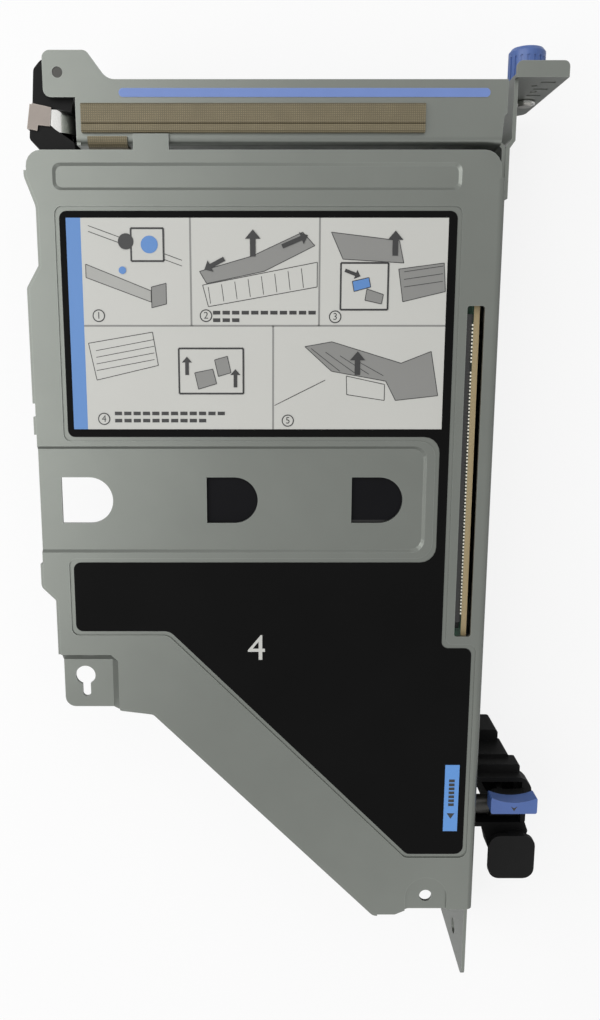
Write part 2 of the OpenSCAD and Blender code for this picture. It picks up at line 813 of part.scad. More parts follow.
// One soldered lead beside a card slot
module lead(y, z, s) {
  lead_w = 0.5;
  lead_l = 1.1;
  x1 = board_x;
  z0 = z + s * socket_w / 2;
  block([x1 - 0.4, y - lead_w / 2, min(z0, z0 + s * lead_l)],
        [x1, y + lead_w / 2, max(z0, z0 + s * lead_l)]);
}

module contact_leads() {
  color([0.75, 0.72, 0.6]) place()
    for (i = [0:contact_n - 1], s = [-1, 1]) {
      y = contact_y0 - contact_pitch * (i < contact_key ? i : i + 2);
      lead(y, socket_z, s);
    }
}

module board_standoffs() {
  color([0.7, 0.6, 0.35]) place()
    for (y = standoff_y, z = standoff_z) difference() {
      x_rod(x_wall_in - standoff_l, x_wall_in, y, z, standoff_r);
      x_rod(x_wall_in - standoff_l - cut, x_wall_in + cut, y, z, 1.2);
    }
}

module board_screws() {
  color(plain_steel) place()
    for (y = standoff_y, z = standoff_z) {
      x_rod(board_x, x_wall + 0.4, y, z, 1.2);
      difference() {
        x_rod(board_x - 1.6, board_x, y, z, 2.6);
        for (a = [0, 90])
          translate([board_x - 1.6, y, z]) rotate([a, 0, 0])
            cube([1.6, 0.7, 3], center = true);
      }
    }
}

// --- card latch ------------------------------------------------------------

module latch_outline() {
  polygon(rounded([
    [latch_x + 3.9, latch_y + 3.9, 3.5],
    [latch_x - 4.6, latch_y + 3.9, 2.5],
    [latch_x - 6.8, latch_y + 1.4, 2],
    [latch_x - 7.4, latch_y - 7.2, 0],
    [latch_x - 8.4, latch_y - 13.6, 1.5],
    [latch_x - 8.6, latch_y - 16, 1.5],
    [latch_x - 5.8, latch_y - 19, 1],
    [latch_x + 3.6, latch_y - 19, 1],
    [latch_x + 3.2, latch_y - 16.8, 0],
    [latch_x - 1.6, latch_y - 13.6, 3],
    [latch_x - 3.2, latch_y - 12.2, 1.5],
    [latch_x - 3.2, latch_y - 8, 0.8],
    [latch_x + 2.8, latch_y - 9.3, 0],
    [latch_x + 3.6, latch_y - 5, 2],
    [latch_x + 3.9, latch_y - 2, 0]
  ]));
}

module latch_body() {
  color(black) place() {
    difference() {
      union() {
        translate([0, 0, latch_z0]) linear_extrude(latch_h) latch_outline();
        translate([latch_x, latch_y, sheet_t + run])
          cylinder(h = z_band - 2 * sheet_t - 2 * run, r = 3.4, $fn = 48);
      }
      translate([latch_x, latch_y, -cut])
        cylinder(h = cage_h + 2 * cut, r = pivot_r + pin_run, $fn = 48);
      // moulded pocket in the pressing side
      block([latch_x - 5.4, latch_y - 11.6, latch_z0 + 14], [latch_x + 6, latch_y - 9.4, latch_z1 - 14]);
    }
  }
}

// Steel clip that wraps the outer side of the latch
module clip_top_outline() {
  polygon([
    [latch_x - 8.05 + 0.6, latch_y - 7.1], [latch_x - 2.4, latch_y - 8.2],
    [latch_x - 2.9, latch_y - 12.9], [latch_x - 6.0, latch_y - 12.6],
    [latch_x - 6.3, latch_y - 14], [latch_x - 8.5 - 0.1, latch_y - 13.6]
  ]);
}

module clip_side_outline() {
  polygon([
    [latch_x - 7.43, latch_y - 7.4], [latch_x - 8.4, latch_y - 13.6],
    [latch_x - 8.4 - clip_t, latch_y - 13.5], [latch_x - 7.43 - clip_t, latch_y - 7.3]
  ]);
}

module latch_clip() {
  color([0.7, 0.66, 0.6]) place() {
    translate([0, 0, latch_z1]) linear_extrude(clip_t) clip_top_outline();
    translate([0, 0, latch_z0 - clip_t]) linear_extrude(clip_t) clip_top_outline();
    translate([0, 0, latch_z0 - clip_t]) linear_extrude(latch_h + 2 * clip_t) clip_side_outline();
  }
}

// Curved leaf that presses the card brackets against the ledge
module latch_spring() {
  leaf_r = 5.8;
  leaf_t = 0.4;
  x = latch_x - 3.2;
  color([0.75, 0.75, 0.74]) place()
    translate([x, latch_y - 8.6, latch_z1 - leaf_r]) rotate([90, 0, 0]) {
      rotate_extrude(angle = 90, $fn = 64) translate([leaf_r - leaf_t, 0]) square([leaf_t, 5.6]);
      translate([leaf_r - leaf_t, -8, 0]) cube([leaf_t, 8 + skin, 5.6]);
      translate([leaf_r - 1.2, -8, 0]) rotate_extrude(angle = -180, $fn = 32)
        translate([1.2 - leaf_t, 0]) square([leaf_t, 5.6]);
    }
}

module latch_pin() {
  color(plain_steel) place()
    translate([latch_x, latch_y, 0.2]) cylinder(h = z_band - 0.4, r = pivot_r, $fn = 48);
}

// --- thumbscrew ------------------------------------------------------------

module thumbscrew_knob() {
  grooves = 18;
  color(touch_blue) place() difference() {
    union() {
      y_rod(knob_x, knob_y0, knob_y1 - 1, knob_z, knob_r);
      translate([knob_x, knob_y1 - 1, knob_z]) rotate([-90, 0, 0])
        cylinder(h = 1, r1 = knob_r, r2 = knob_r - 0.8, $fn = 48);
    }
    // cavity for the spring and the ferrule
    y_rod(knob_x, knob_y0 - cut, knob_y0 + knob_cavity, knob_z, ferrule_r + 0.4);
    y_rod(knob_x, knob_y0, knob_y1 - 2, knob_z, screw_r);
    for (i = [0:grooves - 1])
      translate([knob_x, knob_y0 - cut, knob_z]) rotate([0, i * 360 / grooves, 0])
        translate([knob_r, 0, 0]) cube([0.5, 2 * (knob_l - 1.5), 0.7], center = true);
  }
}

module thumbscrew_screw() {
  color(plain_steel) place() difference() {
    y_rod(knob_x, ear_y - screw_out, knob_y1 - 2, knob_z, screw_r);
    // groove for the retaining clip
    difference() {
      y_rod(knob_x, clip_y0, clip_y0 + ring_t, knob_z, screw_r + cut);
      y_rod(knob_x, clip_y0 - cut, clip_y0 + ring_t + cut, knob_z, groove_r);
    }
  }
}

// Retaining ring that keeps the sprung screw in its flange
module thumbscrew_clip() {
  color([0.72, 0.72, 0.7]) place() difference() {
    y_rod(knob_x, clip_y0, clip_y0 + ring_t, knob_z, ferrule_r - 0.5);
    y_rod(knob_x, clip_y0 - cut, clip_y0 + ring_t + cut, knob_z, groove_r + pin_run);
  }
}

module thumbscrew_ferrule() {
  color([0.72, 0.72, 0.7]) place() difference() {
    union() {
      y_rod(knob_x, ear_y, ear_y + sheet_t, knob_z, ferrule_r - 1);
      y_rod(knob_x, ear_y + sheet_t, ear_y + sheet_t + ferrule_l, knob_z, ferrule_r);
    }
    y_rod(knob_x, ear_y - cut, ear_y + sheet_t + ferrule_l + cut, knob_z, screw_r + pin_run);
  }
}

module thumbscrew_spring() {
  wire_r = 0.35;
  turns = 4;
  y0 = ear_y + sheet_t + ferrule_l;
  l = knob_y0 + knob_cavity - y0;
  color(plain_steel) place()
    translate([knob_x, y0 + wire_r, knob_z]) rotate([-90, 0, 0])
      coil(screw_r + 0.8, wire_r, (l - 2 * wire_r) / turns, turns);
}

// --- release lever ---------------------------------------------------------

// Screws that hold the housing: distance behind the pivot, and height
housing_screw_at = [[11, 8], [-14, 29]];
screw_hole_r = 1.2;

// Rear wall, outer cheek and foot of one tier of the housing, from above
module tier_outline(i) {
  x1 = x_wall + tier_reach[i];
  y1 = lever_y + tier_rear[i];
  x2 = min(x1, x_wall + 19);
  polygon(rounded([
    [x_wall, y1, 0], [x1, y1, tier_r[i]], [x1, lever_y + 1.5, 0],
    [x2, lever_y - 1, 0], [x2, lever_y - mouth, 0], [x_wall, lever_y - mouth, 0]
  ]));
}

// Space inside one tier that the lever moves in
module tier_cavity(i) {
  x1 = min(x_wall + tier_reach[i] - housing_t, lever_x1 + run);
  y1 = lever_y + tier_rear[i] - housing_t;
  y0 = lever_y - mouth - cut;
  translate([x_wall + base_t, y0]) square([x1 - x_wall - base_t, y1 - y0]);
}

// Shelf that joins one tier to the tier above it
module tier_shelf(i) {
  translate([0, 0, tier_z[i + 1] - housing_t * 0.4]) linear_extrude(housing_t) difference() {
    union() {
      tier_outline(i);
      tier_outline(i + 1);
    }
    intersection() {
      tier_cavity(i);
      tier_cavity(i + 1);
    }
  }
}

// Arm between the tiers and the finger rest, from above
module neck_outline() {
  polygon(rounded([
    [x_wall, lever_y - mouth + 0.3, 0],
    [x_wall, lever_y - mouth - 1.8, 0],
    [x_wall + 5, lever_y - mouth - 1.8, 0],
    [x_wall + 6.4, lever_y - 9.4, 0],
    [x_wall + 7.4, lever_y - 13.6, 0],
    [x_wall + 8.6, lever_y - 15.5, 0],
    [x_wall + 18, lever_y - 15.5, 0],
    [x_wall + 20, lever_y - 7.9, 0],
    [x_wall + 18.7, lever_y - mouth + 0.3, 0],
    [lever_x1 + run + 0.3, lever_y - mouth + 0.3, 0],
    [lever_x1 + run + 0.3, lever_y - mouth - 0.4, 0],
    [x_wall + base_t - 0.4, lever_y - mouth - 0.4, 0],
    [x_wall + base_t - 0.4, lever_y - mouth + 0.3, 0]
  ]));
}

module rest_outline() {
  rrect(rest_x0, rest_x0 + rest_w, rest_y1 - rest_l, rest_y1, 3.4);
}

// Grip under the finger rest, with ribs round it
module finger_grip() {
  h = rest_z1 - rest_t - grip_z0;
  ribs = 5;
  difference() {
    translate([0, 0, grip_z0]) linear_extrude(h)
      rrect(rest_x0 + 4, rest_x0 + rest_w - 1.4, rest_y1 - rest_l + 2, rest_y1 - 1, 3);
    for (i = [0:ribs - 1])
      translate([0, 0, grip_z0 + h * (i + 0.35) / ribs]) linear_extrude(h / ribs / 2) difference() {
        translate([x_wall, rest_y1 - rest_l]) square([30, 6]);
        rrect(rest_x0 + 4.7, rest_x0 + rest_w - 2.1, rest_y1 - rest_l + 2.7, rest_y1 - 1, 2.4);
      }
  }
}

module lever_housing() {
  color(black) place() difference() {
    union() {
      for (i = [0:3])
        translate([0, 0, tier_z[i]]) linear_extrude(tier_z[i + 1] - tier_z[i]) difference() {
          tier_outline(i);
          tier_cavity(i);
        }
      for (i = [0:2]) tier_shelf(i);
      // floor behind the hook
      block([x_wall, lever_y + 9.8, tier_z[0]],
            [x_wall + tier_reach[0] - 0.5, lever_y + tier_rear[0] - 0.5, tier_z[0] + housing_t]);
      // front wall of the pocket and the arm of the finger rest
      translate([0, 0, tier_z[4] - neck_t]) linear_extrude(neck_t) neck_outline();
      // foot that stiffens the arm along the riser wall
      block([x_wall, lever_y - 16, grip_z0 - 2], [x_wall + base_t, lever_y - mouth + 0.5, tier_z[3] + 2]);
      finger_grip();
      translate([0, 0, rest_z1 - rest_t]) linear_extrude(rest_t) rest_outline();
    }
    // the boss lies in an open notch in the foot's top edge
    block([x_wall - cut, lever_y - boss_r - run, lever_z - boss_r - run],
          [lever_x0, lever_y + boss_r + run, tier_z[4] + cut]);
    x_rod(lever_x1 - cut, pin_x1, lever_y, lever_z, lever_pin_r);
    for (p = housing_screw_at)
      x_rod(x_wall - cut, x_wall + base_t - 0.4, lever_y + p[0], p[1], screw_hole_r);
  }
}

// Side view of the thumb plate and the hub
module thumb_profile() {
  polygon(rounded([
    [cap_y1 - cap_l + 0.2, cap_z1 - cap_h, 0],
    [cap_y1 - 0.4, cap_z1 - cap_h, 0],
    [lever_y + 8, lever_z + 5, 4],
    [lever_y + 4, tier_z[3] + 1.8, 1],
    [lever_y - 3.4, tier_z[3] + 1.8, 1],
    [lever_y - 3.4, lever_z + 2, 2],
    [lever_y + 2.2, lever_z + 5, 3]
  ]));
}

// Side view of the arm with the hook
module arm_profile() {
  polygon(rounded([
    [lever_y + 3.2, lever_z, 0],
    [lever_y + 2.2, lever_z - 12, 8],
    [lever_y + 2.8, hook_z + 3, 2],
    [lever_y + 1.4, hook_z, 1.2],
    [lever_y - 2.2, hook_z, 1.2],
    [lever_y - 6.4, hook_z + 5, 0.5],
    [lever_y - 6.2, hook_z + 6.2, 0.5],
    [lever_y - 2.2, hook_z + 6.6, 0.8],
    [lever_y - 2.4, lever_z - 12, 8],
    [lever_y - 3.2, lever_z, 0]
  ]));
}

module release_lever() {
  color(black) place() difference() {
    union() {
      translate([lever_x0, 0, 0]) rotate([90, 0, 90]) linear_extrude(lever_w) thumb_profile();
      translate([lever_x0, 0, 0]) rotate([90, 0, 90]) linear_extrude(arm_w) arm_profile();
      x_rod(lever_x0, hub_x1, lever_y, lever_z, hub_r);
    }
    x_rod(lever_x0 - cut, lever_x1 + cut, lever_y, lever_z, lever_pin_r + pin_run);
    // pocket for the torsion spring
    x_rod(hub_x1 - spring_l, hub_x1 + cut, lever_y, lever_z, lever_pin_r + 1.2);
    // hollow that follows the cap's thumb face
    thumb_hollow(tier_z[3], cap_z1);
  }
}

// Hollow for the thumb in the rear face of the lever and its cap
module thumb_hollow(z0, z1) {
  r = (cap_w * cap_w / 4 + thumb_dip * thumb_dip) / (2 * thumb_dip);
  translate([cap_x0 + cap_w / 2, cap_y1 - thumb_dip + r, z0 - cut])
    cylinder(h = z1 - z0 + 2 * cut, r = r, $fn = 96);
}

// Blue touch cap with a hollowed thumb face
module lever_cap() {
  color(touch_blue) place() difference() {
    translate([0, 0, cap_z1 - cap_h]) linear_extrude(cap_h)
      rrect(cap_x0, cap_x0 + cap_w, cap_y1 - cap_l, cap_y1, 0.6);
    thumb_hollow(cap_z1 - cap_h, cap_z1);
  }
}

module lever_pin() {
  color(plain_steel) place() {
    x_rod(x_wall_in - 0.8, pin_x1, lever_y, lever_z, lever_pin_r);
    x_rod(x_wall_in - 0.8, x_wall_in, lever_y, lever_z, 2.6);
  }
}

// Boss that the pin stands in, between the riser wall and the lever
module lever_boss() {
  color([0.3, 0.3, 0.3]) place() difference() {
    x_rod(x_wall, lever_x0 - run, lever_y, lever_z, boss_r);
    x_rod(x_wall - cut, lever_x0, lever_y, lever_z, lever_pin_r);
  }
}

// Torsion spring in the lever's hub
module lever_spring() {
  wire_r = 0.3;
  turns = 3;
  color(plain_steel) place()
    translate([hub_x1 - spring_l + wire_r + 0.1, lever_y, lever_z]) rotate([0, 90, 0])
      coil(lever_pin_r + wire_r + 0.15, wire_r, (spring_l - 2 * wire_r - 0.2) / turns, turns);
}

module housing_screws() {
  color(plain_steel) place() for (p = housing_screw_at) {
    y = lever_y + p[0];
    x_rod(x_wall_in, x_wall + base_t - 0.4, y, p[1], screw_hole_r);
    difference() {
      x_rod(x_wall_in - 1.2, x_wall_in, y, p[1], 2.4);
      for (a = [0, 90])
        translate([x_wall_in - 1.2, y, p[1]]) rotate([a, 0, 0])
          cube([1.4, 0.6, 2.6], center = true);
    }
  }
}

cage_shell();
ear_bracket();
ear_rivets();
emi_gasket();
corner_gasket();
riser_board();
card_slot_upper();
card_slot_lower();
contact_leads();
board_standoffs();
board_screws();
insulator_sheet();
label_film();
touch_line();
latch_body();
latch_clip();
latch_spring();
latch_pin();
thumbscrew_knob();
thumbscrew_screw();
thumbscrew_clip();
thumbscrew_ferrule();
thumbscrew_spring();
lever_housing();
release_lever();
lever_cap();
lever_pin();
lever_boss();
lever_spring();
housing_screws();
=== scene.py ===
"""Dress of a riser cage bracket: finishes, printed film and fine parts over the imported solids."""
from __future__ import annotations

import json
import logging
import math
from dataclasses import dataclass
from enum import Enum

import bmesh
import bpy
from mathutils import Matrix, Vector

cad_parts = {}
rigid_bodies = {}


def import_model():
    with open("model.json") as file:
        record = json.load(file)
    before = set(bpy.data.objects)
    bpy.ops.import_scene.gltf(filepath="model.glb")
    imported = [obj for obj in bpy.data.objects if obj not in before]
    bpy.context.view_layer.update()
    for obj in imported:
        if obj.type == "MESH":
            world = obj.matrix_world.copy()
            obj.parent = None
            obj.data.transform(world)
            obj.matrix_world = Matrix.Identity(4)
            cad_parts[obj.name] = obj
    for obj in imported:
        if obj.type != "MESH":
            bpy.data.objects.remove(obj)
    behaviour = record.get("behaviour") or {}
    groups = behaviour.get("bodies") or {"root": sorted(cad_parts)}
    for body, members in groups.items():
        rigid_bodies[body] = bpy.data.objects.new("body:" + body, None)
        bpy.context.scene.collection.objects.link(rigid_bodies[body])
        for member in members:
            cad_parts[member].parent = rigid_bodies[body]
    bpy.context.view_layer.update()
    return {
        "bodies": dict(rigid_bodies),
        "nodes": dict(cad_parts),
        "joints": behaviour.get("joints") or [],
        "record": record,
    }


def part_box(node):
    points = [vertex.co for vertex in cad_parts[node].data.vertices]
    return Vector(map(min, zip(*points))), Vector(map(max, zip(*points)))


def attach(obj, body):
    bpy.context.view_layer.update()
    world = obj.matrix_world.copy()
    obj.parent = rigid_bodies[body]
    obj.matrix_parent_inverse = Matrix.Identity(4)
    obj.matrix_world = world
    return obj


LOG = logging.getLogger("riser_cage")
MM = 0.001
INK_T = 0.03 * MM

Point = tuple[float, float]
Colour = tuple[float, float, float]
Nodes = bpy.types.Nodes
Links = bpy.types.NodeLinks
Node = bpy.types.Node
Socket = bpy.types.NodeSocket


class Side(Enum):
    """Which way a row of parts runs."""

    ALONG_Y = "y"
    ALONG_Z = "z"


# --- finishes ---------------------------------------------------------------


@dataclass(frozen=True)
class Finish:
    """A surface with grain, uneven tone, worn edges and fine relief."""

    name: str
    tone: Colour
    worn: Colour
    roughness: float = 0.4
    metallic: float = 0.0
    grain_mm: float = 0.4
    mottle_mm: float = 9.0
    mottle: float = 0.12
    relief_mm: float = 0.01
    edge_mm: float = 0.25
    stretch: tuple[float, float, float] = (1.0, 1.0, 1.0)
    specular: float = 0.5

    def material(self) -> bpy.types.Material:
        """Build the material.

        Returns:
            The node-based material.
        """
        mat = bpy.data.materials.new(self.name)
        mat.use_nodes = True
        nodes, links = mat.node_tree.nodes, mat.node_tree.links
        shader = nodes["Principled BSDF"]
        shader.inputs["Metallic"].default_value = self.metallic
        shader.inputs["Specular IOR Level"].default_value = self.specular
        coord = nodes.new("ShaderNodeTexCoord")
        place = nodes.new("ShaderNodeMapping")
        place.inputs["Scale"].default_value = self.stretch
        links.new(coord.outputs["Object"], place.inputs["Vector"])
        grain = self._noise(nodes, links, place, self.grain_mm, 3.0)
        mottle = self._noise(nodes, links, place, self.mottle_mm, 2.0)
        tone = nodes.new("ShaderNodeMix")
        tone.data_type = "RGBA"
        tone.inputs[6].default_value = (*[c * (1 - self.mottle) for c in self.tone], 1)
        tone.inputs[7].default_value = (*[min(1, c * (1 + self.mottle)) for c in self.tone], 1)
        links.new(mottle.outputs["Fac"], tone.inputs[0])
        edge = self._edge(nodes, links)
        wear = nodes.new("ShaderNodeMix")
        wear.data_type = "RGBA"
        wear.inputs[7].default_value = (*self.worn, 1)
        links.new(edge, wear.inputs[0])
        links.new(tone.outputs[2], wear.inputs[6])
        links.new(self._detail(nodes, links, place, wear.outputs[2]), shader.inputs["Base Color"])
        rough = nodes.new("ShaderNodeMapRange")
        rough.inputs["To Min"].default_value = max(0.05, self.roughness - 0.07)
        rough.inputs["To Max"].default_value = min(1.0, self.roughness + 0.07)
        links.new(grain.outputs["Fac"], rough.inputs["Value"])
        links.new(rough.outputs["Result"], shader.inputs["Roughness"])
        bump = nodes.new("ShaderNodeBump")
        bump.inputs["Strength"].default_value = 0.35
        bump.inputs["Distance"].default_value = self.relief_mm * MM
        links.new(self._relief(nodes, links, place, grain), bump.inputs["Height"])
        links.new(bump.outputs["Normal"], shader.inputs["Normal"])
        return mat

    def _noise(self, nodes: Nodes, links: Links, place: Node, size_mm: float, detail: float) -> Node:
        """Add a noise.

        Args:
            nodes: The material's nodes.
            links: The material's links.
            place: The mapping node that it reads.
            size_mm: Width of its features.
            detail: How many finer layers it has.

        Returns:
            The noise node.
        """
        noise = nodes.new("ShaderNodeTexNoise")
        noise.inputs["Scale"].default_value = 1.0 / (size_mm * MM)
        noise.inputs["Detail"].default_value = detail
        links.new(place.outputs["Vector"], noise.inputs["Vector"])
        return noise

    def _edge(self, nodes: Nodes, links: Links) -> Socket:
        """Find sharp edges, where the finish is worn.

        Returns:
            A socket from 0 to 1.
        """
        bevel = nodes.new("ShaderNodeBevel")
        bevel.samples = 4
        bevel.inputs["Radius"].default_value = self.edge_mm * MM
        flat = nodes.new("ShaderNodeNewGeometry")
        dot = nodes.new("ShaderNodeVectorMath")
        dot.operation = "DOT_PRODUCT"
        links.new(bevel.outputs["Normal"], dot.inputs[0])
        links.new(flat.outputs["Normal"], dot.inputs[1])
        span = nodes.new("ShaderNodeMapRange")
        span.inputs["From Min"].default_value = 1.0
        span.inputs["From Max"].default_value = 0.8
        span.inputs["To Max"].default_value = 0.6
        links.new(dot.outputs["Value"], span.inputs["Value"])
        return span.outputs["Result"]

    def _detail(self, nodes: Nodes, links: Links, place: Node, colour: Socket) -> Socket:
        """Pass the colour on; a finish with a pattern changes it."""
        return colour

    def _relief(self, nodes: Nodes, links: Links, place: Node, grain: Node) -> Socket:
        """Return the height socket of the fine relief."""
        return grain.outputs["Fac"]


@dataclass(frozen=True)
class WovenFinish(Finish):
    """Metallised cloth with crossing threads."""

    thread_mm: float = 0.55

    def _weave(self, nodes: Nodes, links: Links, place: Node) -> Socket:
        """Multiply two bands into a weave and return its socket."""
        out = []
        for axis in ("X", "Y"):
            wave = nodes.new("ShaderNodeTexWave")
            wave.bands_direction = axis
            wave.inputs["Scale"].default_value = 0.314 / (self.thread_mm * MM)
            wave.inputs["Distortion"].default_value = 0.6
            links.new(place.outputs["Vector"], wave.inputs["Vector"])
            out.append(wave.outputs["Fac"])
        both = nodes.new("ShaderNodeMath")
        both.operation = "MULTIPLY"
        links.new(out[0], both.inputs[0])
        links.new(out[1], both.inputs[1])
        return both.outputs[0]

    def _detail(self, nodes: Nodes, links: Links, place: Node, colour: Socket) -> Socket:
        """Darken the gaps between the threads."""
        mix = nodes.new("ShaderNodeMix")
        mix.data_type = "RGBA"
        mix.inputs[6].default_value = (*[c * 0.45 for c in self.tone], 1)
        links.new(self._weave(nodes, links, place), mix.inputs[0])
        links.new(colour, mix.inputs[7])
        return mix.outputs[2]

    def _relief(self, nodes: Nodes, links: Links, place: Node, grain: Node) -> Socket:
        """Raise the threads."""
        return self._weave(nodes, links, place)


@dataclass(frozen=True)
class BoardFinish(Finish):
    """Solder mask on the faces and bare glass fibre along the cut edges."""

    bare: Colour = (0.42, 0.33, 0.18)

    def _detail(self, nodes: Nodes, links: Links, place: Node, colour: Socket) -> Socket:
        """Show the bare fibre where the surface faces away from X."""
        flat = nodes.new("ShaderNodeNewGeometry")
        parts = nodes.new("ShaderNodeSeparateXYZ")
        size = nodes.new("ShaderNodeMath")
        size.operation = "ABSOLUTE"
        face = nodes.new("ShaderNodeMath")
        face.operation = "GREATER_THAN"
        face.inputs[1].default_value = 0.5
        mix = nodes.new("ShaderNodeMix")
        mix.data_type = "RGBA"
        mix.inputs[6].default_value = (*self.bare, 1)
        links.new(flat.outputs["Normal"], parts.inputs[0])
        links.new(parts.outputs["X"], size.inputs[0])
        links.new(size.outputs[0], face.inputs[0])
        links.new(face.outputs[0], mix.inputs[0])
        links.new(colour, mix.inputs[7])
        return mix.outputs[2]


ZINC = (0.155, 0.165, 0.15)
FINISHES: dict[str, Finish] = {
    "zinc_steel": Finish("zinc_steel", ZINC, (0.27, 0.285, 0.265), 0.36, 0.75, 0.35, 14, 0.06, 0.006, 0.3),
    "bright_steel": Finish("bright_steel", (0.7, 0.7, 0.68), (0.85, 0.85, 0.83), 0.22, 1.0, 0.3, 4, 0.06),
    "clip_steel": Finish("clip_steel", (0.16, 0.14, 0.125), (0.3, 0.27, 0.24), 0.34, 0.7, 0.4, 5, 0.1),
    "fastener_steel": Finish("fastener_steel", (0.4, 0.39, 0.37), (0.6, 0.6, 0.58), 0.36, 0.9, 0.3, 3, 0.1),
    "brass_standoff": Finish("brass_standoff", (0.6, 0.48, 0.24), (0.8, 0.68, 0.4), 0.3, 1.0, 0.3, 3, 0.08),
    "black_plastic": Finish("black_plastic", (0.008, 0.008, 0.008), (0.03, 0.03, 0.03), 0.45, 0,
                            0.5, 7, 0.2, 0.02, 0.2,
                            specular=0.08),
    "slot_plastic": Finish("slot_plastic", (0.03, 0.03, 0.03), (0.1, 0.1, 0.1), 0.36, 0, 0.6, 8,
                           0.2, 0.02, 0.2),
    "touch_blue": Finish("touch_blue", (0.06, 0.12, 0.34), (0.14, 0.22, 0.5), 0.36, 0, 0.5, 6,
                         0.1, 0.02, 0.2),
    "touch_line": Finish("touch_line", (0.14, 0.22, 0.50), (0.25, 0.33, 0.6), 0.4, 0, 0.4, 5, 0.06),
    "film_black": Finish("film_black", (0.005, 0.005, 0.005), (0.015, 0.015, 0.015), 0.5, 0,
                         0.25, 20, 0.2, 0.008, 0.1,
                         specular=0.03),
    "insulator": Finish("insulator", (0.006, 0.006, 0.007), (0.02, 0.02, 0.02), 0.45, 0, 0.5,
                        12, 0.15, specular=0.05),
    "board": BoardFinish("board", (0.035, 0.12, 0.07), (0.40, 0.31, 0.17), 0.4, 0, 0.8, 10,
                         0.15, 0.02, 0.2),
    "contact": Finish("contact", (0.75, 0.72, 0.62), (0.85, 0.83, 0.75), 0.25, 1.0, 0.3, 3, 0.05),
    "gasket": WovenFinish("gasket", (0.21, 0.175, 0.10), (0.34, 0.29, 0.2), 0.5, 0.3, 0.5, 5,
                          0.35, 0.12, 0.3),
}
PRINT: dict[str, Finish] = {
    "ink_panel": Finish("ink_panel", (0.52, 0.52, 0.49), (0.52, 0.52, 0.49), 0.5, 0, 0.25, 30, 0.03, 0.006),
    "ink_stripe": Finish("ink_stripe", (0.09, 0.22, 0.50), (0.09, 0.22, 0.50), 0.45, 0, 0.25,
                         20, 0.03, 0.006),
    "ink_tag": Finish("ink_tag", (0.11, 0.29, 0.66), (0.11, 0.29, 0.66), 0.42, 0, 0.25, 20, 0.03, 0.006),
    "ink_black": Finish("ink_black", (0.012, 0.012, 0.012), (0.02, 0.02, 0.02), 0.45, 0, 0.25,
                        20, 0.1, 0.006),
    "ink_grey": Finish("ink_grey", (0.22, 0.22, 0.21), (0.22, 0.22, 0.21), 0.5, 0, 0.25, 20, 0.04, 0.006),
    "ink_pale": Finish("ink_pale", (0.36, 0.36, 0.34), (0.36, 0.36, 0.34), 0.5, 0, 0.25, 20, 0.04, 0.006),
}


# --- mesh helpers -----------------------------------------------------------


class Sheet:
    """Thin flat fields of one ink, gathered into one mesh."""

    def __init__(self, name: str, z: float) -> None:
        """Start a sheet whose underside lies at height z in metres."""
        self.name = name
        self.z = z
        self.bm = bmesh.new()

    def field(self, outline: list[Point], level: int = 0) -> None:
        """Add a closed flat field.

        Args:
            outline: Corners in row-frame millimetres.
            level: How many ink layers lie under it.
        """
        area = sum(a[0] * b[1] - b[0] * a[1] for a, b in zip(outline, outline[1:] + outline[:1]))
        pts = outline if area > 0 else outline[::-1]
        z0 = self.z + level * INK_T
        low = [self.bm.verts.new((x * MM, y * MM, z0)) for x, y in pts]
        top = [self.bm.verts.new((x * MM, y * MM, z0 + INK_T)) for x, y in pts]
        self.bm.faces.new(low[::-1])
        self.bm.faces.new(top)
        n = len(pts)
        for i in range(n):
            self.bm.faces.new((low[i], low[(i + 1) % n], top[(i + 1) % n], top[i]))

    def rect(self, x0: float, y0: float, x1: float, y1: float, level: int = 0) -> None:
        """Add a rectangle."""
        self.field([(x0, y0), (x1, y0), (x1, y1), (x0, y1)], level)

    def disc(self, x: float, y: float, r: float, level: int = 0) -> None:
        """Add a round field."""
        self.field([(x + r * math.cos(a), y + r * math.sin(a))
                    for a in (math.tau * i / 32 for i in range(32))], level)

    def stroke(self, a: Point, b: Point, width: float, level: int = 0) -> None:
        """Add a straight line of a given width."""
        d = Vector((b[0] - a[0], b[1] - a[1]))
        n = Vector((-d.y, d.x)).normalized() * width / 2
        self.field([(a[0] + n.x, a[1] + n.y), (a[0] - n.x, a[1] - n.y),
                    (b[0] - n.x, b[1] - n.y), (b[0] + n.x, b[1] + n.y)], level)

    def frame(self, x0: float, y0: float, x1: float, y1: float, width: float, level: int = 0) -> None:
        """Add the outline of a rectangle."""
        for a, b in (((x0, y0), (x1, y0)), ((x1, y0), (x1, y1)), ((x1, y1), (x0, y1)), ((x0, y1), (x0, y0))):
            self.stroke(a, b, width, level)

    def arrow(self, a: Point, b: Point, width: float, level: int = 0) -> None:
        """Add an arrow from a to b."""
        d = Vector((b[0] - a[0], b[1] - a[1]))
        u = d.normalized()
        n = Vector((-u.y, u.x))
        neck = Vector(b) - u * width * 1.6
        self.stroke(a, (neck.x, neck.y), width, level)
        self.field([(b[0], b[1]), (neck.x + n.x * width * 1.4, neck.y + n.y * width * 1.4),
                    (neck.x - n.x * width * 1.4, neck.y - n.y * width * 1.4)], level)

    def finish(self, ink: str, body: str = "cage", slot: str = "film_black") -> bpy.types.Object:
        """Close the sheet as an object that rides on a body.

        Args:
            ink: The print finish.
            body: The body that it rides on.
            slot: The record's material slot; not used.

        Returns:
            The new piece.
        """
        mesh = bpy.data.meshes.new(self.name)
        self.bm.to_mesh(mesh)
        self.bm.free()
        mesh.materials.append(PRINT[ink].material())
        obj = bpy.data.objects.new(self.name, mesh)
        bpy.context.scene.collection.objects.link(obj)
        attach(obj, body)
        LOG.info("%s: %d faces", self.name, len(mesh.polygons))
        return obj


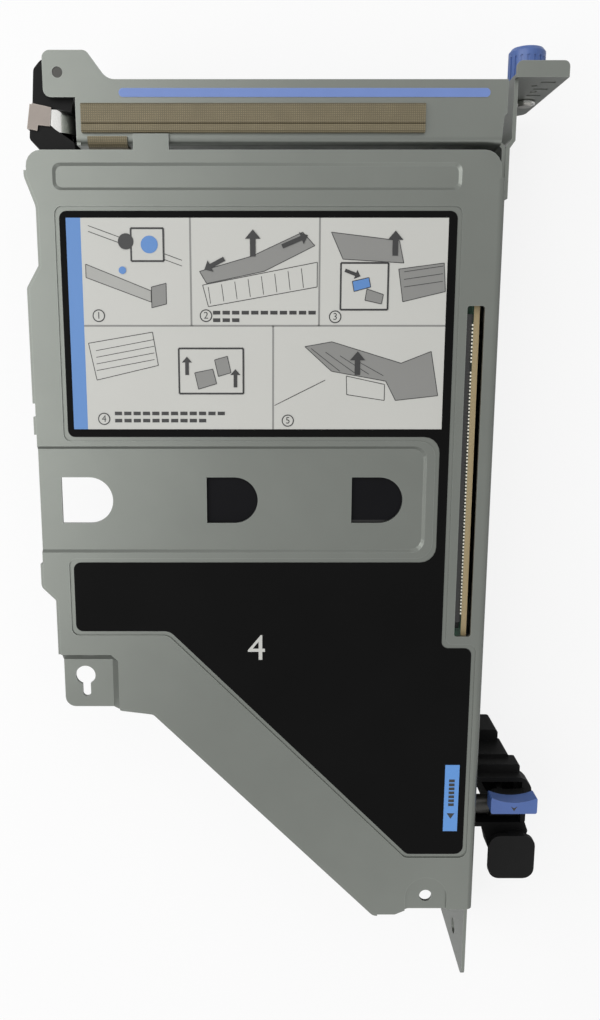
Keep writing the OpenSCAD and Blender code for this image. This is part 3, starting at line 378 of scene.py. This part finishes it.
def numeral(mark: str, x: float, y: float, size: float, z: float, name: str) -> bpy.types.Object:
    """Make a plain printed number.

    Args:
        mark: The number.
        x: Its middle in row-frame millimetres.
        y: Its middle in row-frame millimetres.
        size: Height in millimetres.
        z: Height of its underside in metres.
        name: Name of the piece.

    Returns:
        A mesh object at the origin, with its place in its mesh.
    """
    curve = bpy.data.curves.new(name, "FONT")
    curve.body = mark
    curve.size = size * 1.38 * MM
    curve.extrude = INK_T / 2
    curve.align_x, curve.align_y = "CENTER", "CENTER"
    source = bpy.data.objects.new(name + "_source", curve)
    bpy.context.scene.collection.objects.link(source)
    bpy.context.view_layer.update()
    mesh = bpy.data.meshes.new_from_object(source.evaluated_get(bpy.context.evaluated_depsgraph_get()))
    for v in mesh.vertices:
        v.co += Vector((x * MM, y * MM, z + INK_T / 2))
    bpy.data.objects.remove(source)
    obj = bpy.data.objects.new(name, mesh)
    bpy.context.scene.collection.objects.link(obj)
    return obj


@dataclass
class RowOfPins:
    """A Geometry Nodes row of small blocks along one axis."""

    name: str
    count: int
    pitch_mm: float
    size_mm: tuple[float, float, float]
    start_mm: tuple[float, float, float]
    side: Side = Side.ALONG_Y

    def build(self, material: bpy.types.Material, slot: str) -> bpy.types.Object:
        """Grow the row and bake it to a plain mesh.

        Args:
            material: Its finish.
            slot: The record's material slot; not used.

        Returns:
            The baked piece, riding on the cage.
        """
        tree = bpy.data.node_groups.new(self.name + "_tree", "GeometryNodeTree")
        face = tree.interface
        face.new_socket("Geometry", in_out="OUTPUT", socket_type="NodeSocketGeometry")
        sockets = {
            "Count": face.new_socket("Count", in_out="INPUT", socket_type="NodeSocketInt").identifier,
            "Start": face.new_socket("Start", in_out="INPUT", socket_type="NodeSocketVector").identifier,
            "Step": face.new_socket("Step", in_out="INPUT", socket_type="NodeSocketVector").identifier,
            "Size": face.new_socket("Size", in_out="INPUT", socket_type="NodeSocketVector").identifier,
        }
        nodes, links = tree.nodes, tree.links
        given = nodes.new("NodeGroupInput")
        out = nodes.new("NodeGroupOutput")
        line = nodes.new("GeometryNodeMeshLine")
        block = nodes.new("GeometryNodeMeshCube")
        spread = nodes.new("GeometryNodeInstanceOnPoints")
        solid = nodes.new("GeometryNodeRealizeInstances")
        paint = nodes.new("GeometryNodeSetMaterial")
        paint.inputs["Material"].default_value = material
        links.new(given.outputs["Count"], line.inputs["Count"])
        links.new(given.outputs["Start"], line.inputs["Start Location"])
        links.new(given.outputs["Step"], line.inputs["Offset"])
        links.new(given.outputs["Size"], block.inputs["Size"])
        links.new(line.outputs["Mesh"], spread.inputs["Points"])
        links.new(block.outputs["Mesh"], spread.inputs["Instance"])
        links.new(spread.outputs["Instances"], solid.inputs["Geometry"])
        links.new(solid.outputs["Geometry"], paint.inputs["Geometry"])
        links.new(paint.outputs["Geometry"], out.inputs[0])
        holder = bpy.data.objects.new(self.name + "_rule", bpy.data.meshes.new(self.name + "_rule"))
        bpy.context.scene.collection.objects.link(holder)
        rule = holder.modifiers.new("rule", "NODES")
        rule.node_group = tree
        step = (0, -self.pitch_mm * MM, 0) if self.side is Side.ALONG_Y else (0, 0, -self.pitch_mm * MM)
        rule[sockets["Count"]] = self.count
        rule[sockets["Start"]] = [v * MM for v in self.start_mm]
        rule[sockets["Step"]] = step
        rule[sockets["Size"]] = [v * MM for v in self.size_mm]
        bpy.context.view_layer.update()
        mesh = bpy.data.meshes.new_from_object(holder.evaluated_get(bpy.context.evaluated_depsgraph_get()))
        holder.modifiers.remove(rule)
        bpy.data.objects.remove(holder)
        obj = bpy.data.objects.new(self.name, mesh)
        bpy.context.scene.collection.objects.link(obj)
        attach(obj, "cage")
        LOG.info("%s: %d faces", self.name, len(mesh.polygons))
        return obj


# --- sub-assemblies ---------------------------------------------------------


@dataclass
class DressedSolids:
    """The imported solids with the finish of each."""

    dark_parts: tuple[str, ...] = ("latch_pin", "lever_boss", "lever_pin")

    def dress(self, frame: dict) -> None:
        """Give each solid the finish of its material slot."""
        slots = {s["node"]: s["material_slot"] for s in frame["record"]["subparts"]}
        made = {slot: FINISHES[slot].material() for slot in set(slots.values())}
        for name, obj in frame["nodes"].items():
            mat = made[slots[name]]
            if obj.material_slots:
                for place in obj.material_slots:
                    place.material = mat
            else:
                obj.data.materials.append(mat)
            LOG.info("%s: %s", name, slots[name])
        dark = Finish("dark_oxide", (0.035, 0.034, 0.03), (0.12, 0.12, 0.11), 0.4, 0.3, 0.3, 3, 0.1).material()
        for name in self.dark_parts:
            frame["nodes"][name].material_slots[0].material = dark


# Plain pictures, in millimetres right of and below the panel's far left corner.
SHAPES: list[tuple[str, list[Point]]] = [
    ("ink_pale", [(1, 12), (18.5, 19), (18.5, 22), (1, 15.5)]),
    ("ink_grey", [(18.6, 18), (22.6, 17), (22.6, 22.5), (18.6, 23.5)]),
    ("ink_grey", [(31.7, 13.9), (45.9, 9.9), (59.5, 3.7), (62.8, 7.2), (49.1, 13.9), (33.6, 17.1)]),
    ("ink_panel", [(32.5, 17.5), (63.5, 11.5), (63.5, 18), (34, 23.2)]),
    ("ink_grey", [(67.2, 3.7), (85.5, 5.9), (86.8, 11.7), (70.4, 10.7)]),
    ("ink_grey", [(85.5, 13.3), (97.7, 11.7), (98.3, 19.2), (86.8, 21.9)]),
    ("ink_panel", [(1, 33), (18.6, 30), (20, 39), (3, 43)]),
    ("ink_grey", [(60.3, 33.9), (67.7, 32.6), (86.8, 38.4), (95, 35.2), (97.2, 47.3), (85.5, 48.6),
                  (82.7, 43.3), (67.7, 40.6)]),
    ("ink_panel", [(71.8, 41.9), (82.4, 44.2), (82.4, 48.6), (72, 47)]),
]
FINE_LINES: list[tuple[Point, Point]] = (
    [((2, 2 + 1.5 * i), (27, 11 + 1.5 * i)) for i in range(2)]
    + [((34 + 3.6 * i, 18 - 0.7 * i), (34.6 + 3.6 * i, 22.4 - 0.6 * i)) for i in range(8)]
    + [((3, 35 + 1.8 * i), (19, 32 + 1.8 * i)) for i in range(4)]
    + [((52 + 2 * i, 50 - i), (60 + 2 * i, 46 - i)) for i in range(4)]
    + [((87, 14 + 2 * i), (97.5, 12.5 + 2 * i)) for i in range(3)]
    + [((62 + 4 * i, 34.4 + i), (70 + 4 * i, 40.6 + 0.4 * i)) for i in range(4)]
)
CLOSE_UPS: list[tuple[float, float, float, float]] = [
    (13.4, 2.7, 22.1, 11.2), (69.9, 11.7, 82.7, 24), (25.7, 34.4, 43.4, 46.7)]
CLOSE_UP_SHAPES: list[tuple[str, list[Point]]] = [
    ("ink_stripe", [(73, 16.5), (77.5, 15.5), (78, 18), (73.5, 19.2)]),
    ("ink_grey", [(77, 18.5), (81.5, 20), (81, 22.5), (76.5, 21.5)]),
    ("ink_grey", [(30, 41), (35, 40), (36, 44), (31, 45.5)]),
    ("ink_grey", [(35.5, 37.5), (39, 36.5), (40, 41), (36.5, 42)]),
]
DOTS: list[tuple[float, float, float, str]] = [
    (12, 6.1, 2.1, "ink_black"), (18.3, 6.9, 2.3, "ink_stripe"), (10.9, 13.6, 1.0, "ink_stripe")]
ARROWS: list[tuple[Point, Point, float]] = [
    ((46.1, 10), (46.1, 3), 1.5), ((54, 7.4), (60.9, 4.5), 1.2), ((38.4, 10.6), (33, 13.4), 1.2),
    ((84.4, 9.8), (84.4, 3.3), 1.5), ((71, 13.6), (75.2, 15.2), 0.9), ((27.9, 41.6), (27.9, 36.6), 1.0),
    ((41.2, 45), (41.2, 40), 1.0), ((74.8, 41.6), (74.8, 35.2), 1.5)]
TEXT_BARS: list[tuple[float, float, float, float]] = [
    (35.2, 24.3, 64.4, 25.3), (35.2, 26.3, 45.6, 27.3), (7.6, 51.7, 39.3, 52.7), (7.6, 53.7, 34.1, 54.7)]
RINGS: list[Point] = [(4.1, 25.6), (33.3, 25.6), (68.5, 25.9), (4.6, 53.7), (55.7, 54.2)]


@dataclass
class PrintedFilm:
    """The instruction print on the film, in plain fields and signs."""

    panel: tuple[float, float, float, float] = (-59.55, 36.0, 39.05, 92.6)
    stripe_x: float = -63.45
    middle_y: float = 64.3
    top_cuts: tuple[float, ...] = (-30.25, 4.55)
    low_cut: float = -7.95

    def build(self) -> None:
        """Build the inks from the lowest layer up."""
        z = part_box("label_film")[1][2]
        x0, y0, x1, y1 = self.panel
        panel = Sheet("print_panel", z)
        panel.rect(x0, y0, x1, y1)
        panel.finish("ink_panel")
        stripe = Sheet("print_stripe", z)
        stripe.rect(self.stripe_x, y0, x0, y1)
        stripe.finish("ink_stripe")
        self._lines(z)
        self._pictures(z)
        self._marks(z)

    def _lines(self, z: float) -> None:
        """Rule the lines between the cells."""
        x0, y0, x1, y1 = self.panel
        ink = Sheet("print_rules", z)
        ink.stroke((x0, self.middle_y), (x1, self.middle_y), 0.5, 1)
        for x in self.top_cuts:
            ink.stroke((x, self.middle_y), (x, y1), 0.5, 1)
        ink.stroke((self.low_cut, y0), (self.low_cut, self.middle_y), 0.5, 1)
        ink.finish("ink_grey")

    def _at(self, x: float, y: float) -> Point:
        """Turn a place from the panel's far left corner into the row frame."""
        return self.panel[0] + x, self.panel[3] - y

    def _pictures(self, z: float) -> None:
        """Draw plain cage shapes, framed close-ups and arrows in the cells."""
        sheets = {ink: Sheet(f"print_{ink}", z) for ink in ("ink_grey", "ink_pale", "ink_black", "ink_panel",
                                                            "ink_stripe")}
        black = sheets["ink_black"]
        for ink, outline in SHAPES:
            pts = [self._at(*p) for p in outline]
            sheets[ink].field(pts, 1)
            for p, q in zip(pts, pts[1:] + pts[:1]):
                black.stroke(p, q, 0.2, 2)
        for a, b in FINE_LINES:
            black.stroke(self._at(*a), self._at(*b), 0.18, 2)
        for x0, y0, x1, y1 in CLOSE_UPS:
            (left, top), (right, foot) = self._at(x0, y0), self._at(x1, y1)
            sheets["ink_panel"].rect(left, foot, right, top, 3)
            black.frame(left, foot, right, top, 0.5, 4)
        for ink, outline in CLOSE_UP_SHAPES:
            pts = [self._at(*p) for p in outline]
            sheets[ink].field(pts, 5)
            for p, q in zip(pts, pts[1:] + pts[:1]):
                black.stroke(p, q, 0.2, 6)
        for x, y, r, ink in DOTS:
            sheets[ink].disc(*self._at(x, y), r, 6)
        for a, b, width in ARROWS:
            black.arrow(self._at(*a), self._at(*b), width, 7)
        for x0, y0, x1, y1 in TEXT_BARS:
            (left, top), (right, foot) = self._at(x0, y0), self._at(x1, y1)
            for k in range(int((right - left) / 2.6)):
                black.rect(left + 2.6 * k, foot, left + 2.6 * k + 2.0, top, 1)
        for ink, sheet in sheets.items():
            sheet.finish(ink)

    def _marks(self, z: float) -> None:
        """Print the numbers in their rings, the slot number and the release tag."""
        ring, inner = Sheet("print_rings", z), Sheet("print_ring_fields", z)
        ink = PRINT["ink_black"].material()
        pale = PRINT["ink_panel"].material()
        for i, place in enumerate(RINGS):
            x, y = self._at(*place)
            ring.disc(x, y, 1.7, 3)
            inner.disc(x, y, 1.4, 4)
            self._number(str(i + 1), x, y, 1.9, z + 5 * INK_T, ink)
        ring.finish("ink_black")
        inner.finish("ink_panel")
        self._number("4", -12.65, -28.45, 7.9, z, pale)
        tag = Sheet("print_tag", z)
        tag.rect(43.9, -86.7, 48.2, -65.0)
        tag.finish("ink_tag")
        arrow = Sheet("print_tag_arrow", z)
        arrow.field([(44.9, -80.8), (47.2, -80.8), (46.05, -82.6)], 1)
        for k in range(7):
            arrow.rect(45.2, -78.4 + 1.3 * k, 46.9, -77.5 + 1.3 * k, 1)
        arrow.finish("ink_black")
        low, high = (tuple(v / MM for v in corner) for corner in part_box("insulator_sheet"))
        flap = Sheet("insulator_flap", (low[2] - 0.2) * MM)
        flap.rect(low[0] + 42, low[1], high[0], high[1])
        flap.finish("ink_black", "cage", "insulator")
        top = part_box("lever_cap")
        cap = Sheet("cap_arrow", top[1][2])
        x, y = (top[0][0] + top[1][0]) / 2 / MM, (top[0][1] + top[1][1]) / 2 / MM - 0.9
        cap.field([(x - 1, y + 0.8), (x, y + 0.2), (x + 1, y + 0.8), (x, y - 0.8)], 0)
        cap.finish("ink_black", "lever", "touch_blue")

    def _number(self, mark: str, x: float, y: float, size: float, z: float, mat: bpy.types.Material) -> None:
        """Print one number and let it ride on the cage."""
        obj = numeral(mark, x, y, size, z, f"number_{mark}_{abs(int(y))}")
        obj.data.materials.clear()
        obj.data.materials.append(mat)
        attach(obj, "cage")


@dataclass
class BoardFittings:
    """Contacts in the card slots and on the riser board's tongue."""

    pitch: float = 1.0
    pin: tuple[float, float, float] = (3.4, 0.5, 0.3)

    def build(self) -> None:
        """Fit the rows of contacts and the small parts of the board."""
        tin = FINISHES["contact"].material()
        for name in ("card_slot_upper", "card_slot_lower"):
            low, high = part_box(name)
            z = (low[2] + high[2]) / 2 / MM
            x = low[0] / MM + 2.0
            for sign, tail in ((1, "top"), (-1, "foot")):
                RowOfPins(f"{name}_{tail}_pins", 80, self.pitch, self.pin,
                          (x, high[1] / MM - 5, z + sign * 1.15)).build(tin, "contact")
        low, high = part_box("riser_board")
        RowOfPins("tongue_pads", 76, self.pitch, (0.04, 0.62, 3.2),
                  (low[0] / MM - 0.02, (low[1] / MM + high[1] / MM) / 2 + 45, low[2] / MM + 2.2)
                  ).build(tin, "contact")
        body = FINISHES["slot_plastic"].material()
        RowOfPins("board_parts", 12, 5.2, (1.0, 2.4, 1.5),
                  (low[0] / MM - 0.5, low[1] / MM + 66, low[2] / MM + 24)).build(body, "slot_plastic")


@dataclass
class Studio:
    """Pale floor, soft lamps and the camera above the plate."""

    lens: float = 32.4
    shift_x: float = 0.031
    eye_mm: tuple[float, float, float] = (-9.25, 63.2, 305.6)
    tilt_deg: float = 11.1
    room_light: float = 0.3

    def build(self) -> None:
        """Set the floor, lamps, world and camera."""
        self._floor()
        self._lamp("lamp_left", (-0.6, 0.1, 0.7), 1.0, 8.0)
        self._lamp("lamp_rear", (0.1, 0.7, 0.7), 0.6, 1.6)
        self._lamp("lamp_front", (0.25, -0.75, 0.6), 0.6, 0.8)
        world = bpy.data.worlds.new("room")
        world.use_nodes = True
        self._white_room(world.node_tree)
        bpy.context.scene.world = world
        bpy.context.scene.view_settings.view_transform = "Standard"
        cam = bpy.data.cameras.new("camera")
        cam.lens, cam.sensor_width, cam.sensor_fit = self.lens, 36, "AUTO"
        cam.shift_x = self.shift_x
        cam.clip_start = 0.01
        eye = bpy.data.objects.new("camera", cam)
        eye.location = [v * MM for v in self.eye_mm]
        eye.rotation_euler = (-math.radians(self.tilt_deg), 0, 0)
        bpy.context.scene.collection.objects.link(eye)
        bpy.context.scene.camera = eye

    def _white_room(self, tree: bpy.types.NodeTree) -> None:
        """Make the room white to the eye and in reflections, and dimmer as a lamp."""
        nodes, links = tree.nodes, tree.links
        path = nodes.new("ShaderNodeLightPath")
        seen = path.outputs["Is Camera Ray"]
        for ray in ("Is Glossy Ray", "Is Transmission Ray"):
            either = nodes.new("ShaderNodeMath")
            either.operation = "MAXIMUM"
            links.new(seen, either.inputs[0])
            links.new(path.outputs[ray], either.inputs[1])
            seen = either.outputs[0]
        level = nodes.new("ShaderNodeMapRange")
        level.inputs["To Min"].default_value = self.room_light
        links.new(seen, level.inputs["Value"])
        links.new(level.outputs["Result"], nodes["Background"].inputs["Strength"])
        nodes["Background"].inputs["Color"].default_value = (1, 1, 1, 1)

    def _floor(self) -> None:
        """Lay the pale floor, white where the camera sees it and soft in its shadow."""
        mesh = bpy.data.meshes.new("floor")
        mesh.from_pydata([(-3, -3, -1e-4), (3, -3, -1e-4), (3, 3, -1e-4), (-3, 3, -1e-4)], [], [(0, 1, 2, 3)])
        mat = bpy.data.materials.new("floor_white")
        mat.use_nodes = True
        nodes, links = mat.node_tree.nodes, mat.node_tree.links
        shader = nodes["Principled BSDF"]
        shader.inputs["Base Color"].default_value = (0.85, 0.85, 0.85, 1)
        shader.inputs["Roughness"].default_value = 0.9
        glow = nodes.new("ShaderNodeEmission")
        path = nodes.new("ShaderNodeLightPath")
        part = nodes.new("ShaderNodeMath")
        part.operation = "MULTIPLY"
        part.inputs[1].default_value = 0.85
        mix = nodes.new("ShaderNodeMixShader")
        links.new(path.outputs["Is Camera Ray"], part.inputs[0])
        links.new(part.outputs[0], mix.inputs[0])
        links.new(shader.outputs[0], mix.inputs[1])
        links.new(glow.outputs[0], mix.inputs[2])
        under = nodes.new("ShaderNodeNewGeometry")
        clear = nodes.new("ShaderNodeBsdfTransparent")
        both = nodes.new("ShaderNodeMixShader")
        links.new(under.outputs["Backfacing"], both.inputs[0])
        links.new(mix.outputs[0], both.inputs[1])
        links.new(clear.outputs[0], both.inputs[2])
        links.new(both.outputs[0], nodes["Material Output"].inputs["Surface"])
        mesh.materials.append(mat)
        floor = bpy.data.objects.new("floor", mesh)
        bpy.context.scene.collection.objects.link(floor)

    def _lamp(self, name: str, place: tuple[float, float, float], size: float, power: float) -> None:
        """Hang one square soft lamp that points at the cage."""
        lamp = bpy.data.lights.new(name, "AREA")
        lamp.size, lamp.energy = size, power
        obj = bpy.data.objects.new(name, lamp)
        obj.location = place
        obj.rotation_euler = (Vector((0, 0, 0)) - Vector(place)).to_track_quat("-Z", "Y").to_euler()
        bpy.context.scene.collection.objects.link(obj)


def main() -> None:
    """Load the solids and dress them."""
    logging.basicConfig(level=logging.INFO)
    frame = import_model()
    DressedSolids().dress(frame)
    PrintedFilm().build()
    BoardFittings().build()
    Studio().build()


if __name__ == "__main__":
    main()
